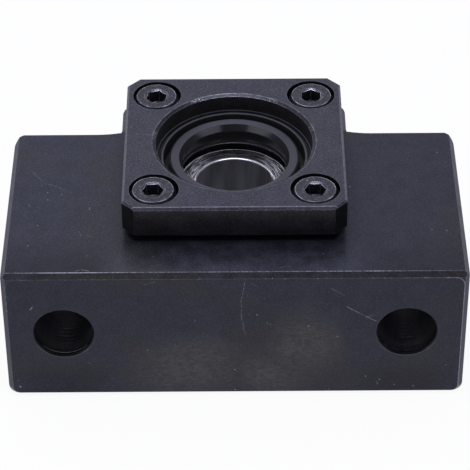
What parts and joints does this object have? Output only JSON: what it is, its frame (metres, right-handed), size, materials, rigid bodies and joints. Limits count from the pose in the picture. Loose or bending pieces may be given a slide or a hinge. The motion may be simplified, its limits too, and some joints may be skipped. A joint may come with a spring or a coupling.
{
  "type": "ball screw end support",
  "caption": "T-shaped black steel bearing block for the fixed end of a ball screw, with a square screwed-on lid, lip seals and face-to-face angular contact ball bearings.",
  "frame": {"origin": "on the bearing axis, in the plane of the rear face, on which the block can stand", "axes": "+Z along the bearing axis towards the lid, +X across the width, and the base that is bolted down faces -Y"},
  "size_m": [0.07, 0.043, 0.0303],
  "materials": {
    "housing": "black oxide, ground, worn bright along the edges",
    "lid": "black oxide, ground, worn bright along the edges",
    "screws": "black oxide, matt, rim knocked bright in places",
    "seal": "moulded, matt",
    "bearing_ring": "ground and polished",
    "cage": "moulded polyamide",
    "ball": "lapped"
  },
  "bodies": {
    "block": {"housing": "housing", "retaining_lid": "lid", "lid_screws": "screws", "front_seal": "seal", "rear_seal": "seal", "front_outer_ring": "bearing_ring", "rear_outer_ring": "bearing_ring"},
    "front_inner": {"front_inner_ring": "bearing_ring"},
    "rear_inner": {"rear_inner_ring": "bearing_ring"},
    "front_ball_set": {"front_cage": "cage", "front_ball_1": "ball", "front_ball_2": "ball", "front_ball_3": "ball", "front_ball_4": "ball", "front_ball_5": "ball", "front_ball_6": "ball", "front_ball_7": "ball", "front_ball_8": "ball", "front_ball_9": "ball", "front_ball_10": "ball", "front_ball_11": "ball"},
    "rear_ball_set": {"rear_cage": "cage", "rear_ball_1": "ball", "rear_ball_2": "ball", "rear_ball_3": "ball", "rear_ball_4": "ball", "rear_ball_5": "ball", "rear_ball_6": "ball", "rear_ball_7": "ball", "rear_ball_8": "ball", "rear_ball_9": "ball", "rear_ball_10": "ball", "rear_ball_11": "ball"}
  },
  "joints": [
    {"name": "front_ring_spin", "type": "hinge", "parent": "block", "child": "front_inner", "pos_m": [0, 0, 0.0183], "axis": [0, 0, 1], "continuous": true},
    {"name": "front_cage_spin", "type": "hinge", "parent": "block", "child": "front_ball_set", "pos_m": [0, 0, 0.0183], "axis": [0, 0, 1], "continuous": true},
    {"name": "rear_ring_spin", "type": "hinge", "parent": "block", "child": "rear_inner", "pos_m": [0, 0, 0.0103], "axis": [0, 0, 1], "continuous": true},
    {"name": "rear_cage_spin", "type": "hinge", "parent": "block", "child": "rear_ball_set", "pos_m": [0, 0, 0.0103], "axis": [0, 0, 1], "continuous": true}
  ],
  "couplings": [
    {"joint": "front_cage_spin", "follows": "front_ring_spin", "ratio": 0.3969},
    {"joint": "rear_cage_spin", "follows": "rear_ring_spin", "ratio": 0.3969}
  ]
}
